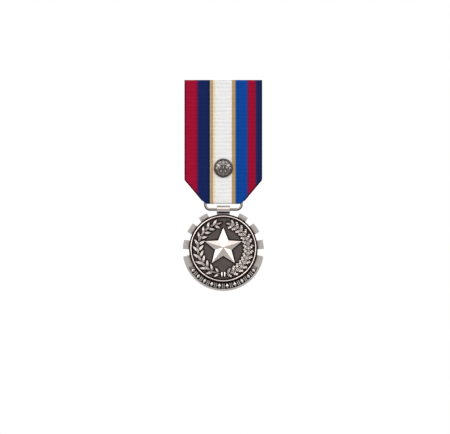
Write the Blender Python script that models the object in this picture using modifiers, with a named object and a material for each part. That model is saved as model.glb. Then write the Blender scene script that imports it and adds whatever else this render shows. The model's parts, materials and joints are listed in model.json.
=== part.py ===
"""Military service medal: ribbon with a pin brooch, hanger link and gear-edged medal.

The medal hangs upright with its front towards -Y and +Z up.  The origin is the middle of
the brooch pin, which is what a garment carries it by.  All lengths are in metres.
"""

import math

import bmesh
import bpy
from mathutils import Vector

MM = 0.001

# Ribbon.
RIBBON_WIDTH = 37.0 * MM
RIBBON_THICK = 0.4 * MM
RIBBON_TOP = 4.0 * MM
TAPER_TOP = -43.1 * MM
TAPER_SLOPE = 0.807
CORNER_Z = -53.1 * MM
LOOP_WIDTH = 15.6 * MM
HEM_LENGTH = 8.5 * MM
TAIL_TOP = -45.0 * MM
FOLD_RADIUS = 0.26 * MM
FOLD_INSET = 0.59 * MM

# Hanger link: its upper bar is in the ribbon's loop, its lower bar in the medal's barrel.
HANG_Y = -2.35 * MM
WIRE_R = 0.65 * MM
UPPER_BAR_Z = -53.9 * MM
LOWER_BAR_Z = -57.6 * MM
LINK_HALF = 8.6 * MM
LINK_CORNER_UP = 0.75 * MM
LINK_CORNER_LOW = 2.3 * MM

# Medal: depths are measured from the hanging line, towards the back.
DISC_Z = -76.2 * MM
GEAR_Z = -77.1 * MM
GEAR_R = 19.3 * MM
ROOT_R = 16.0 * MM
TEETH = ((32.0, 7.0), (57.8, 7.5), (84.0, 6.6))
CRESCENT = 101.5
BAND_HALF = 61.0
BAND_DEPTH = 0.45 * MM
RIM_WIDTH = 0.9 * MM
PLATE_BACK = 1.05 * MM
PLATE_FRONT = -0.55 * MM
MEDALLION_R = 16.35 * MM
FIELD_FRONT = -1.75 * MM
REVERSE_LINE_R = 15.1 * MM
BARREL_R = 1.8 * MM
BARREL_BORE = 0.9 * MM
BARREL_LENGTH = 6.3 * MM
NECK_HALF = 3.05 * MM

# Star and wreath.
STAR_Z = -75.6 * MM
STAR_OUTER = 9.3 * MM
STAR_INNER = 4.05 * MM
STAR_EDGE = 0.45 * MM
STAR_HEIGHT = 1.6 * MM
WREATH_R = 12.0 * MM
STEM_HALF = 0.28 * MM
STEM_THICK = 0.3 * MM
LEAF_EDGE = 0.36 * MM
LEAF_TOP = 0.62 * MM

# Device on the ribbon.
DEVICE_Z = -37.9 * MM
DEVICE_R = 4.5 * MM
PRONG_X = 2.4 * MM

# Brooch.
BROOCH_LENGTH = 31.0 * MM
BROOCH_HEIGHT = 6.0 * MM
BROOCH_CORNER = 1.2 * MM
BROOCH_BACK = -1.92 * MM
BROOCH_THICK = 0.6 * MM
JOINT_X = -12.0 * MM
CATCH_X = 12.0 * MM
PIN_R = 0.4 * MM
EYE_R = 0.95 * MM
EYE_HALF = 0.4 * MM
EAR_R = 1.0 * MM
EAR_THICK = 0.4 * MM
CATCH_OUT = 1.62 * MM
CATCH_IN = 1.3 * MM
CATCH_LIP = 1.08 * MM
LOCK_OUT = 1.24 * MM
LOCK_IN = 0.6 * MM

# Clearance left where one piece sits on another.
SEAT = 0.02 * MM

# Turns that face a shape's own Z, or a flat outline's thickness, along a world axis.
TO_FRONT = (math.radians(90.0), 0.0, 0.0)
TO_BACK = (math.radians(-90.0), 0.0, 0.0)
TO_RIGHT = (0.0, math.radians(90.0), 0.0)
SIDEWAYS = (math.radians(90.0), 0.0, math.radians(90.0))
UPRIGHT = (0.0, 0.0, 0.0)

# ---------------------------------------------------------------- scene and helpers

for old in list(bpy.data.objects):
    bpy.data.objects.remove(old, do_unlink=True)

parts = bpy.data.collections.new("service_medal")
cutters = bpy.data.collections.new("cutters")
bpy.context.scene.collection.children.link(parts)
bpy.context.scene.collection.children.link(cutters)


def material(name, colour, metallic, roughness):
    mat = bpy.data.materials.new(name)
    mat.use_nodes = True
    shader = mat.node_tree.nodes["Principled BSDF"]
    shader.inputs["Base Color"].default_value = (*colour, 1.0)
    shader.inputs["Metallic"].default_value = metallic
    shader.inputs["Roughness"].default_value = roughness
    return mat


def pivot(name, place):
    """Empty on a joint's axis; the pieces that move with the joint hang from it."""
    empty = bpy.data.objects.new(name, None)
    empty.empty_display_size = 2.0 * MM
    empty.location = place
    parts.objects.link(empty)
    return empty


def add(name, data, mat, place, turn=UPRIGHT, parent=None):
    """Object of the medal, or a hidden helper where it has no material."""
    obj = bpy.data.objects.new(name, data)
    obj.rotation_euler = turn
    obj.location = Vector(place)
    if parent:
        obj.parent = parent
        obj.location -= parent.location
    if mat:
        data.materials.append(mat)
        parts.objects.link(obj)
    else:
        obj.hide_render = True
        obj.display_type = "WIRE"
        cutters.objects.link(obj)
    return obj


def box(name, low, high, mat=None, parent=None):
    """Box between two corners."""
    low = Vector(low)
    high = Vector(high)
    shape = bmesh.new()
    bmesh.ops.create_cube(shape, size=1.0)
    bmesh.ops.scale(shape, vec=high - low, verts=shape.verts)
    mesh = bpy.data.meshes.new(name)
    shape.to_mesh(mesh)
    shape.free()
    return add(name, mesh, mat, (low + high) / 2.0, parent=parent)


def cylinder(name, radius, length, middle, turn, mat=None, parent=None, segments=32):
    shape = bmesh.new()
    bmesh.ops.create_cone(
        shape, cap_ends=True, segments=segments, radius1=radius, radius2=radius, depth=length
    )
    mesh = bpy.data.meshes.new(name)
    shape.to_mesh(mesh)
    shape.free()
    mesh.shade_smooth()
    mesh.set_sharp_from_angle(angle=math.radians(35.0))
    return add(name, mesh, mat, middle, turn, parent)


def turned(name, profile, steps, place, turn, mat=None, parent=None, ring=False):
    """Solid turned from a profile of (radius, height) points that runs down its outer side.

    A ring's profile closes on itself, clear of the axis.
    """
    count = len(profile)
    edges = [(i, i + 1) for i in range(count - 1)]
    if ring:
        edges.append((count - 1, 0))
    mesh = bpy.data.meshes.new(name)
    mesh.from_pydata([(radius, 0.0, height) for radius, height in profile], edges, [])
    obj = add(name, mesh, mat, place, turn, parent)
    screw = obj.modifiers.new("Turn", "SCREW")
    screw.axis = "Z"
    screw.angle = 2.0 * math.pi
    screw.steps = steps
    screw.render_steps = steps
    screw.use_merge_vertices = True
    screw.merge_threshold = 0.000002
    return obj


def flat(name, outline, thickness, place, turn, mat=None, parent=None):
    """Plate cut to a closed outline of (u, v) points, with its middle plane at the place."""
    curve = bpy.data.curves.new(name, "CURVE")
    curve.dimensions = "2D"
    curve.fill_mode = "BOTH"
    curve.extrude = thickness / 2.0
    spline = curve.splines.new("POLY")
    spline.points.add(len(outline) - 1)
    for point, (u, v) in zip(spline.points, outline):
        point.co = (u, v, 0.0, 1.0)
    spline.use_cyclic_u = True
    guide = bpy.data.objects.new(name + "_outline", curve)
    cutters.objects.link(guide)
    graph = bpy.context.evaluated_depsgraph_get()
    mesh = bpy.data.meshes.new_from_object(guide.evaluated_get(graph))
    bpy.data.objects.remove(guide, do_unlink=True)
    shape = bmesh.new()
    shape.from_mesh(mesh)
    bmesh.ops.remove_doubles(shape, verts=shape.verts, dist=1e-6)
    bmesh.ops.recalc_face_normals(shape, faces=shape.faces)
    shape.to_mesh(mesh)
    shape.free()
    mesh.name = name
    return add(name, mesh, mat, place, turn, parent)


def boolean(obj, other, operation):
    mod = obj.modifiers.new(operation.title(), "BOOLEAN")
    mod.operation = operation
    mod.solver = "EXACT"
    mod.object = other


def bevel(obj, width, segments=1, angle=30.0):
    mod = obj.modifiers.new("Edge", "BEVEL")
    mod.width = width
    mod.segments = segments
    mod.limit_method = "ANGLE"
    mod.angle_limit = math.radians(angle)


def arc(u, v, radius, start, end, steps):
    """Points of an arc about (u, v); angles in degrees from the u axis towards v."""
    points = []
    for i in range(steps + 1):
        a = math.radians(start + (end - start) * i / steps)
        points.append((u + radius * math.cos(a), v + radius * math.sin(a)))
    return points


def polar(radius, degrees, centre_z=DISC_Z):
    """Point (x, z) at an angle from straight up, turning towards +X."""
    a = math.radians(degrees)
    return radius * math.sin(a), centre_z + radius * math.cos(a)


def gear_edge(degrees, radius=GEAR_R):
    """Point on the gear's circle at an angle seen from the disc's centre."""
    drop = DISC_Z - GEAR_Z
    c = math.cos(math.radians(degrees))
    reach = -drop * c + math.sqrt(drop * drop * (c * c - 1.0) + radius * radius)
    return polar(reach, degrees)


def peaked(shape, outline, back, edge, top):
    """Adds a plate to a bmesh: an (x, z) outline with an upright edge and a raised middle."""
    disc = bmesh.ops.create_circle(shape, cap_ends=True, segments=len(outline), radius=MM)
    face = disc["verts"][0].link_faces[0]
    for corner, (x, z) in zip([loop.vert for loop in face.loops], outline):
        corner.co = (x, back, z)
    raised = bmesh.ops.extrude_face_region(shape, geom=[face])["geom"]
    lid = [item for item in raised if isinstance(item, bmesh.types.BMFace)][0]
    bmesh.ops.translate(shape, vec=(0.0, -edge, 0.0), verts=lid.verts)
    middle = bmesh.ops.poke(shape, faces=[lid])["verts"][0]
    middle.co.y = back - top
    return middle


def closed_mesh(name, shape, place):
    """Mesh of a bmesh that was drawn in world coordinates, moved to have its origin at a place."""
    bmesh.ops.recalc_face_normals(shape, faces=shape.faces)
    bmesh.ops.translate(shape, vec=-Vector(place), verts=shape.verts)
    mesh = bpy.data.meshes.new(name)
    shape.to_mesh(mesh)
    shape.free()
    return mesh


silver_satin = material("silver_satin", (0.62, 0.60, 0.59), 1.0, 0.38)
silver_bright = material("silver_bright", (0.86, 0.85, 0.84), 1.0, 0.12)
silver_dark = material("silver_oxidised", (0.10, 0.085, 0.08), 1.0, 0.45)
silver_leaf = material("silver_leaf", (0.42, 0.40, 0.39), 1.0, 0.35)
silver_wire = material("silver_wire", (0.70, 0.70, 0.71), 1.0, 0.18)
silver_device = material("silver_device", (0.45, 0.44, 0.45), 1.0, 0.28)
nickel = material("nickel_brooch", (0.66, 0.64, 0.60), 1.0, 0.3)
cloth = material("ribbon_cloth", (0.42, 0.01, 0.05), 0.0, 0.9)

link_axis = pivot("link_axis", (0.0, HANG_Y, UPPER_BAR_Z))
medal_axis = pivot("medal_axis", (0.0, HANG_Y, LOWER_BAR_Z))
pin_axis = pivot("pin_axis", (JOINT_X, 0.0, 0.0))
lock_axis = pivot("lock_axis", (CATCH_X, 0.0, 0.0))

# ---------------------------------------------------------------- ribbon

HALF = RIBBON_WIDTH / 2.0
LOOP_HALF = LOOP_WIDTH / 2.0
LOOP_R = WIRE_R + 0.25 * MM
FRONT_Y = HANG_Y - LOOP_R
HEM_Y = FRONT_Y + 2.0 * FOLD_RADIUS
TAIL_Y = HEM_Y + RIBBON_THICK + 0.124 * MM
TAPER_SHARES = (0.05, 0.35, 0.7, 1.0)


def taper_half(z):
    """Half of the ribbon's width in the tapered part."""
    return HALF - TAPER_SLOPE * (TAPER_TOP - z)


def ribbon_rows():
    """The ribbon's middle line as (y, z, half width), from the hem's end to the tail's end.

    Also gives the number of the first row along which a corner is folded back.
    """
    rows = [
        (HEM_Y, RIBBON_TOP - FOLD_RADIUS - HEM_LENGTH, HALF),
        (HEM_Y, RIBBON_TOP - FOLD_RADIUS - 2.0 * MM, HALF),
    ]
    top = RIBBON_TOP - RIBBON_THICK / 2.0 - FOLD_RADIUS
    for y, z in arc(FRONT_Y + FOLD_RADIUS, top, FOLD_RADIUS, 0.0, 180.0, 6):
        rows.append((y, z, HALF))
    for i in range(1, 9):
        rows.append((FRONT_Y, top + (TAPER_TOP - top) * i / 8, HALF))
    first = len(rows)
    for share in TAPER_SHARES:
        z = TAPER_TOP + (CORNER_Z - TAPER_TOP) * share
        rows.append((FRONT_Y, z, taper_half(z) - FOLD_INSET))
    rows.append((FRONT_Y, CORNER_Z - 0.06 * MM, LOOP_HALF))
    for y, z in arc(HANG_Y, UPPER_BAR_Z, LOOP_R, 180.0, 360.0, 12):
        rows.append((y, z, LOOP_HALF))
    rows.append((HANG_Y + LOOP_R, UPPER_BAR_Z + 0.4 * MM, LOOP_HALF))
    rows.append((TAIL_Y, UPPER_BAR_Z + 3.2 * MM, LOOP_HALF))
    rows.append((TAIL_Y, TAIL_TOP, LOOP_HALF))
    return rows, first


def ribbon_mesh():
    """Right half of the folded cloth's middle surface: a strip and its folded-back corner."""
    shape = bmesh.new()
    rows, first = ribbon_rows()
    lanes = [[shape.verts.new((half * t, y, z)) for t in (0.0, 0.5, 1.0)] for y, z, half in rows]
    edge_run = Vector((-TAPER_SLOPE, -1.0)).normalized()
    back = Vector((2.0 * edge_run.x**2 - 1.0, 2.0 * edge_run.x * edge_run.y))
    flaps = []
    for row in range(first, first + len(TAPER_SHARES)):
        y, z, half = rows[row]
        flap = [lanes[row][-1]]
        for depth, out in arc(0.0, 0.0, FOLD_RADIUS, -90.0, 90.0, 4)[1:]:
            x = half - edge_run.y * depth
            flap.append(shape.verts.new((x, y + FOLD_RADIUS + out, z + edge_run.x * depth)))
        for share in (0.5, 1.0):
            reach = back * (HALF - half) * share
            flap.append(shape.verts.new((half + reach.x, y + 2.0 * FOLD_RADIUS, z + reach.y)))
        flaps.append(flap)
    for strip in (lanes, flaps):
        for upper, lower in zip(strip, strip[1:]):
            for k in range(len(upper) - 1):
                shape.faces.new((upper[k], lower[k], lower[k + 1], upper[k + 1]))
    bmesh.ops.recalc_face_normals(shape, faces=shape.faces)
    mesh = bpy.data.meshes.new("ribbon")
    shape.to_mesh(mesh)
    shape.free()
    return mesh


def make_ribbon():
    obj = add("ribbon", ribbon_mesh(), cloth, (0.0, 0.0, 0.0))
    mirror = obj.modifiers.new("Left half", "MIRROR")
    mirror.merge_threshold = 0.00001
    thickness = obj.modifiers.new("Thickness", "SOLIDIFY")
    thickness.thickness = RIBBON_THICK
    thickness.offset = 0.0
    thickness.use_even_offset = True
    return obj


ribbon = make_ribbon()

# ---------------------------------------------------------------- device on the ribbon

DEVICE_BACK = FRONT_Y - RIBBON_THICK / 2.0 - SEAT
RIBBON_BACK = FRONT_Y + RIBBON_THICK / 2.0
PRONG_THICK = 0.25 * MM
PRONG_HEIGHT = 1.5 * MM
PRONG_REACH = 2.6 * MM


def make_device():
    profile = (
        (0.0, 1.55 * MM),
        (1.6 * MM, 1.45 * MM),
        (2.9 * MM, 1.1 * MM),
        (3.55 * MM, 0.78 * MM),
        (3.75 * MM, 0.62 * MM),
        (4.0 * MM, 0.72 * MM),
        (4.35 * MM, 0.62 * MM),
        (DEVICE_R, 0.4 * MM),
        (DEVICE_R, 0.0),
        (0.0, 0.0),
    )
    place = (0.0, DEVICE_BACK, DEVICE_Z)
    turned("device_badge", profile, 48, place, TO_FRONT, silver_device)


def make_prong(name, side):
    """L of thin strip: back through its slit in the ribbon, then bent flat away from the middle."""
    x = side * PRONG_X
    slit = box(
        "cut_slit_" + name,
        (x - 0.25 * MM, DEVICE_BACK - 0.5 * MM, DEVICE_Z - 0.9 * MM),
        (x + 0.25 * MM, RIBBON_BACK + 0.1 * MM, DEVICE_Z + 0.9 * MM),
    )
    boolean(ribbon, slit, "DIFFERENCE")
    near = DEVICE_BACK + 0.01 * MM
    bend = RIBBON_BACK + SEAT
    inner = -side * PRONG_THICK / 2.0
    outer = side * PRONG_THICK / 2.0
    outline = (
        (inner, 0.0),
        (outer, 0.0),
        (outer, bend - near),
        (side * PRONG_REACH, bend - near),
        (side * PRONG_REACH, bend - near + PRONG_THICK),
        (inner, bend - near + PRONG_THICK),
    )
    flat("device_prong_" + name, outline, PRONG_HEIGHT, (x, near, DEVICE_Z), UPRIGHT, silver_device)


make_device()
make_prong("left", -1.0)
make_prong("right", 1.0)

# ---------------------------------------------------------------- hanger link


def make_link():
    """Closed loop of round wire: square shoulders above, wide round corners below."""
    drop = LOWER_BAR_Z - UPPER_BAR_Z
    upper = LINK_HALF - LINK_CORNER_UP
    lower = LINK_HALF - LINK_CORNER_LOW
    points = arc(upper, -LINK_CORNER_UP, LINK_CORNER_UP, 90.0, 0.0, 6)
    points += arc(lower, drop + LINK_CORNER_LOW, LINK_CORNER_LOW, 0.0, -90.0, 8)
    points += arc(-lower, drop + LINK_CORNER_LOW, LINK_CORNER_LOW, -90.0, -180.0, 8)
    points += arc(-upper, -LINK_CORNER_UP, LINK_CORNER_UP, 180.0, 90.0, 6)
    wire = bpy.data.curves.new("hanger_link", "CURVE")
    wire.dimensions = "3D"
    wire.bevel_depth = WIRE_R
    wire.bevel_resolution = 6
    wire.use_fill_caps = True
    spline = wire.splines.new("POLY")
    spline.points.add(len(points) - 1)
    for point, (x, z) in zip(spline.points, points):
        point.co = (x, 0.0, z, 1.0)
    spline.use_cyclic_u = True
    spline.use_smooth = True
    add("hanger_link", wire, silver_wire, link_axis.location, parent=link_axis)


make_link()

# ---------------------------------------------------------------- suspension lug

SEAT_Z = DISC_Z + ROOT_R * math.cos(math.radians(11.5))


def make_lug():
    """Barrel on the link's lower bar, with a square neck and a sunken panel on its front."""
    middle = medal_axis.location
    lug = cylinder(
        "suspension_lug", BARREL_R, BARREL_LENGTH, middle, TO_RIGHT, silver_satin, medal_axis, 40
    )
    neck = box(
        "join_neck",
        (-NECK_HALF, HANG_Y + PLATE_FRONT, SEAT_Z + SEAT),
        (NECK_HALF, HANG_Y + PLATE_BACK, LOWER_BAR_Z),
    )
    panel = box(
        "cut_neck_panel",
        (-NECK_HALF + 0.45 * MM, HANG_Y + PLATE_FRONT - 0.2 * MM, SEAT_Z - 0.5 * MM),
        (NECK_HALF - 0.45 * MM, HANG_Y + PLATE_FRONT + 0.3 * MM, LOWER_BAR_Z - BARREL_R - 0.05 * MM),
    )
    bore = cylinder("cut_bore", BARREL_BORE, BARREL_LENGTH * 1.5, middle, TO_RIGHT)
    boolean(lug, neck, "UNION")
    boolean(lug, panel, "DIFFERENCE")
    boolean(lug, bore, "DIFFERENCE")
    bevel(lug, 0.12 * MM)


make_lug()

# ---------------------------------------------------------------- gear-edged plate


def gear_outline():
    """Right half of the outline from the top down, then the same points on the left."""
    half = [polar(ROOT_R, 11.5), polar(ROOT_R, 18.0)]
    last = 18.0
    for middle, width in TEETH:
        start = middle - width
        half.append(polar(ROOT_R, (last + start) / 2.0))
        half.append(polar(ROOT_R, start - 0.8))
        for k in range(5):
            half.append(gear_edge(start + 2.0 * width * k / 4))
        half.append(polar(ROOT_R, middle + width + 0.8))
        last = middle + width
    half.append(polar(ROOT_R, (last + CRESCENT) / 2.0))
    half.append(polar(ROOT_R, CRESCENT - 0.8))
    for k in range(27):
        half.append(gear_edge(CRESCENT + (180.0 - CRESCENT) * k / 26))
    return half + [(-x, z) for x, z in reversed(half[:-1])]


def relative(outline, place):
    """An outline of (x, z) points, measured from a place."""
    return [(x - place[0], z - place[2]) for x, z in outline]


def make_gear_plate():
    middle = (0.0, HANG_Y + (PLATE_FRONT + PLATE_BACK) / 2.0, GEAR_Z)
    plate = flat(
        "gear_plate",
        relative(gear_outline(), middle),
        PLATE_BACK - PLATE_FRONT,
        middle,
        TO_FRONT,
        silver_satin,
        medal_axis,
    )
    bevel(plate, 0.16 * MM)

    # Sunken band under the disc, bounded by the plate's outer rim.
    start = 180.0 - BAND_HALF
    turns = [start + 2.0 * BAND_HALF * k / 24 for k in range(25)]
    band = [gear_edge(turn, GEAR_R - RIM_WIDTH) for turn in turns]
    band += [polar(MEDALLION_R - 0.4 * MM, turn) for turn in reversed(turns)]
    front = HANG_Y + PLATE_FRONT
    place = (0.0, front, GEAR_Z)
    band_cut = flat("cut_band", relative(band, place), 2.0 * BAND_DEPTH, place, TO_FRONT)
    boolean(plate, band_cut, "DIFFERENCE")

    # Fine turned line round the reverse.
    groove = (
        (REVERSE_LINE_R, 0.2 * MM),
        (REVERSE_LINE_R + 0.3 * MM, 0.2 * MM),
        (REVERSE_LINE_R + 0.15 * MM, -0.15 * MM),
    )
    place = (0.0, HANG_Y + PLATE_BACK, GEAR_Z)
    line_cut = turned("cut_reverse_line", groove, 96, place, TO_BACK, ring=True)
    boolean(plate, line_cut, "DIFFERENCE")


make_gear_plate()

# ---------------------------------------------------------------- medallion


def make_medallion():
    """Disc with a flat field, a round-topped ring near its edge and a lower shoulder outside."""
    field = PLATE_FRONT - SEAT - FIELD_FRONT
    profile = (
        (0.0, field),
        (14.85 * MM, field),
        (15.0 * MM, field + 0.08 * MM),
        (15.08 * MM, field + 0.36 * MM),
        (15.2 * MM, field + 0.56 * MM),
        (15.38 * MM, field + 0.64 * MM),
        (15.56 * MM, field + 0.56 * MM),
        (15.68 * MM, field + 0.36 * MM),
        (15.76 * MM, field - 0.1 * MM),
        (16.2 * MM, field - 0.1 * MM),
        (MEDALLION_R, field - 0.25 * MM),
        (MEDALLION_R, 0.0),
        (0.0, 0.0),
    )
    place = (0.0, HANG_Y + PLATE_FRONT - SEAT, DISC_Z)
    turned("medallion", profile, 96, place, TO_FRONT, silver_dark, medal_axis)


make_medallion()

# ---------------------------------------------------------------- star

STAR_BACK = HANG_Y + FIELD_FRONT - SEAT


def make_star():
    """Five-pointed star whose ridges and valleys run up to one peak."""
    outline = []
    for k in range(5):
        outline.append(polar(STAR_OUTER, 72.0 * k, STAR_Z))
        outline.append(polar(STAR_INNER, 72.0 * k + 36.0, STAR_Z))
    shape = bmesh.new()
    peak = peaked(shape, outline, STAR_BACK, STAR_EDGE, STAR_HEIGHT)
    peak.co.x = 0.0
    peak.co.z = STAR_Z
    place = (0.0, STAR_BACK, STAR_Z)
    star = add("star", closed_mesh("star", shape, place), silver_bright, place, parent=medal_axis)
    bevel(star, 0.05 * MM, 2, 12.0)


make_star()

# ---------------------------------------------------------------- wreath

# Leaf outlines: share of the length, half width as a share of the length.
LAUREL = ((0.0, 0.0), (0.12, 0.09), (0.35, 0.2), (0.6, 0.19), (0.82, 0.1), (1.0, 0.0))
OAK = (
    (0.0, 0.0),
    (0.15, 0.17),
    (0.32, 0.14),
    (0.5, 0.25),
    (0.68, 0.17),
    (0.86, 0.17),
    (1.0, 0.0),
)
STEM_START = 186.0
STEM_END = 344.0


def leaf_outline(pattern, foot, heading, length):
    """Outline of one leaf; its heading is in degrees from +Z towards +X."""
    a = math.radians(heading)
    run = Vector((math.sin(a), math.cos(a))) * length
    side = Vector((run.y, -run.x))
    right = [Vector(foot) + run * s + side * w for s, w in pattern]
    left = [Vector(foot) + run * s - side * w for s, w in pattern[1:-1]]
    return [tuple(p) for p in right + list(reversed(left))]


def branch(name, pattern, side, pairs, length, outward, inward):
    """Curved stem with pairs of leaves, from the tie at the bottom up one side."""
    turns = [STEM_START + (STEM_END - STEM_START) * k / 22 for k in range(23)]
    edge = [polar(WREATH_R + STEM_HALF, turn) for turn in turns]
    edge += [polar(WREATH_R - STEM_HALF, turn) for turn in reversed(turns)]
    edge = [(side * x, z) for x, z in edge]
    place = (0.0, STAR_BACK - STEM_THICK / 2.0, DISC_Z)
    stem = flat(name, relative(edge, place), STEM_THICK, place, TO_FRONT, silver_leaf, medal_axis)
    for row, flare, lift in (("out", -outward, 0.015 * MM), ("in", inward, 0.035 * MM)):
        shape = bmesh.new()
        for k in range(pairs):
            angle = STEM_START + 4.0 + (STEM_END - STEM_START - 6.0) * k / (pairs - 0.5)
            x, z = polar(WREATH_R, angle)
            size = length * (1.0 - 0.12 * k / pairs)
            outline = leaf_outline(pattern, (side * x, z), side * (angle + 90.0 + flare), size)
            peaked(shape, outline, STAR_BACK - lift, LEAF_EDGE, LEAF_TOP)
        blades = add(f"join_{name}_{row}", closed_mesh(name, shape, place), None, place)
        boolean(stem, blades, "UNION")


branch("laurel_branch", LAUREL, 1.0, 10, 3.9 * MM, 30.0, 42.0)
branch("oak_branch", OAK, -1.0, 11, 3.3 * MM, 34.0, 46.0)


def make_tie():
    """Two rounded upright bars on one thin foot, where the branches cross."""
    low = DISC_Z - 13.6 * MM
    high = DISC_Z - 11.1 * MM
    foot_front = STAR_BACK - 0.15 * MM
    tie = box(
        "wreath_tie",
        (-0.95 * MM, foot_front, low + 0.1 * MM),
        (0.95 * MM, STAR_BACK, high - 0.1 * MM),
        silver_bright,
        medal_axis,
    )
    for side, name in ((-1.0, "left"), (1.0, "right")):
        near, far = sorted((side * 0.3 * MM, side * 1.05 * MM))
        bar = box(
            "join_bar_" + name,
            (near, STAR_BACK - 0.6 * MM, low),
            (far, STAR_BACK - 0.05 * MM, high),
        )
        bevel(bar, 0.2 * MM, 3)
        boolean(tie, bar, "UNION")


make_tie()

# ---------------------------------------------------------------- brooch

BASE_Y = BROOCH_BACK + SEAT
EAR_IN = EYE_HALF + 0.08 * MM
EAR_OUT = EAR_IN + EAR_THICK


def make_brooch_plate():
    """Round-cornered bar behind the hem, with a sewing hole near each corner."""
    u = BROOCH_LENGTH / 2.0 - BROOCH_CORNER
    v = BROOCH_HEIGHT / 2.0 - BROOCH_CORNER
    outline = []
    for su, sv, start in ((1, 1, 90.0), (1, -1, 0.0), (-1, -1, -90.0), (-1, 1, -180.0)):
        outline += arc(su * u, sv * v, BROOCH_CORNER, start, start - 90.0, 4)
    middle = (0.0, BROOCH_BACK - BROOCH_THICK / 2.0, 0.0)
    plate = flat("brooch_plate", outline, BROOCH_THICK, middle, TO_FRONT, nickel)
    for k, (sx, sz) in enumerate(((-1, 1), (-1, -1), (1, -1), (1, 1))):
        place = (sx * (BROOCH_LENGTH / 2.0 - 1.3 * MM), middle[1], sz * 1.6 * MM)
        hole = cylinder(f"cut_sewing_{k}", 0.45 * MM, 3.0 * MM, place, TO_FRONT, segments=20)
        boolean(plate, hole, "DIFFERENCE")
    bevel(plate, 0.08 * MM)


def make_bracket():
    """Joint of the pin: a foot with an ear above and an ear below the pin's eye."""
    bracket = box(
        "pin_joint_bracket",
        (JOINT_X - 1.6 * MM, BASE_Y, -EAR_OUT),
        (JOINT_X + 1.6 * MM, BASE_Y + 0.45 * MM, EAR_OUT),
        nickel,
    )
    for sign, name in ((1.0, "upper"), (-1.0, "lower")):
        low, high = sorted((sign * EAR_IN, sign * EAR_OUT))
        blade = box(
            "join_ear_" + name,
            (JOINT_X - EAR_R, BASE_Y + 0.2 * MM, low),
            (JOINT_X + EAR_R, 0.0, high),
        )
        middle = (JOINT_X, 0.0, (low + high) / 2.0)
        round_end = cylinder("join_ear_end_" + name, EAR_R, EAR_THICK, middle, UPRIGHT)
        boolean(bracket, blade, "UNION")
        boolean(bracket, round_end, "UNION")
    hole = cylinder("cut_rivet", 0.4 * MM, 4.0 * MM, (JOINT_X, 0.0, 0.0), UPRIGHT, segments=24)
    boolean(bracket, hole, "DIFFERENCE")


def make_rivet():
    head = EAR_OUT + 0.03 * MM
    profile = (
        (0.0, head + 0.35 * MM),
        (0.4 * MM, head + 0.28 * MM),
        (0.65 * MM, head),
        (0.35 * MM, head),
        (0.35 * MM, -head),
        (0.65 * MM, -head),
        (0.4 * MM, -head - 0.28 * MM),
        (0.0, -head - 0.35 * MM),
    )
    turned("pin_rivet", profile, 24, (JOINT_X, 0.0, 0.0), UPRIGHT, nickel)


def make_pin():
    """Round wire with a ground point at the catch and a flat eye on the rivet."""
    start = 0.6 * MM
    taper = CATCH_X - JOINT_X - 2.5 * MM
    point = CATCH_X - JOINT_X + 1.9 * MM
    profile = (
        (0.0, point),
        (0.12 * MM, point - 0.15 * MM),
        (PIN_R, taper),
        (PIN_R, start),
        (0.0, start),
    )
    place = pin_axis.location
    pin = turned("brooch_pin", profile, 20, place, TO_RIGHT, silver_wire, pin_axis)
    eye = cylinder("join_eye", EYE_R, 2.0 * EYE_HALF, place, UPRIGHT)
    hole = cylinder("cut_eye", 0.42 * MM, 4.0 * MM, place, UPRIGHT, segments=24)
    boolean(pin, eye, "UNION")
    boolean(pin, hole, "DIFFERENCE")


def open_ring(inner, outer, mouth, steps):
    """Outline of a ring in Y and Z with its mouth to the back; half the mouth in degrees."""
    points = arc(0.0, 0.0, outer, mouth, 360.0 - mouth, steps)
    return points + arc(0.0, 0.0, inner, 360.0 - mouth, mouth, steps)


def make_catch():
    """C-shaped channel with lips that keep the turning lock in it."""
    place = lock_axis.location
    outline = open_ring(CATCH_LIP, CATCH_OUT, 70.0, 22)
    catch = flat("catch_base", outline, 2.0 * MM, place, SIDEWAYS, nickel)
    foot = box(
        "join_foot",
        (CATCH_X - 1.6 * MM, BASE_Y, -1.1 * MM),
        (CATCH_X + 1.6 * MM, BASE_Y + 0.6 * MM, 1.1 * MM),
    )
    channel = cylinder("cut_channel", CATCH_IN, 1.4 * MM, place, TO_RIGHT, segments=44)
    boolean(catch, foot, "UNION")
    boolean(catch, channel, "DIFFERENCE")


def make_lock():
    """Turning C ring with a thumb tab: its mouth to the back lets the pin in."""
    place = lock_axis.location
    outline = open_ring(LOCK_IN, LOCK_OUT, 42.0, 28)
    lock = flat("catch_lock", outline, 1.3 * MM, place, SIDEWAYS, silver_wire, lock_axis)
    blade = arc(0.0, 0.0, 2.5 * MM, 46.0, 60.0, 2) + arc(0.0, 0.0, 1.0 * MM, 60.0, 46.0, 2)
    tab = flat("join_tab", blade, 0.8 * MM, place, SIDEWAYS)
    boolean(lock, tab, "UNION")


make_brooch_plate()
make_bracket()
make_rivet()
make_pin()
make_catch()
make_lock()
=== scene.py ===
"""Looks of the military service medal: woven ribbon, wreath, frieze, device and thread.

The medal faces -Y and hangs along -Z. Lengths are in metres, written as millimetres times MM.
"""

import json
import math
import random

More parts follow.
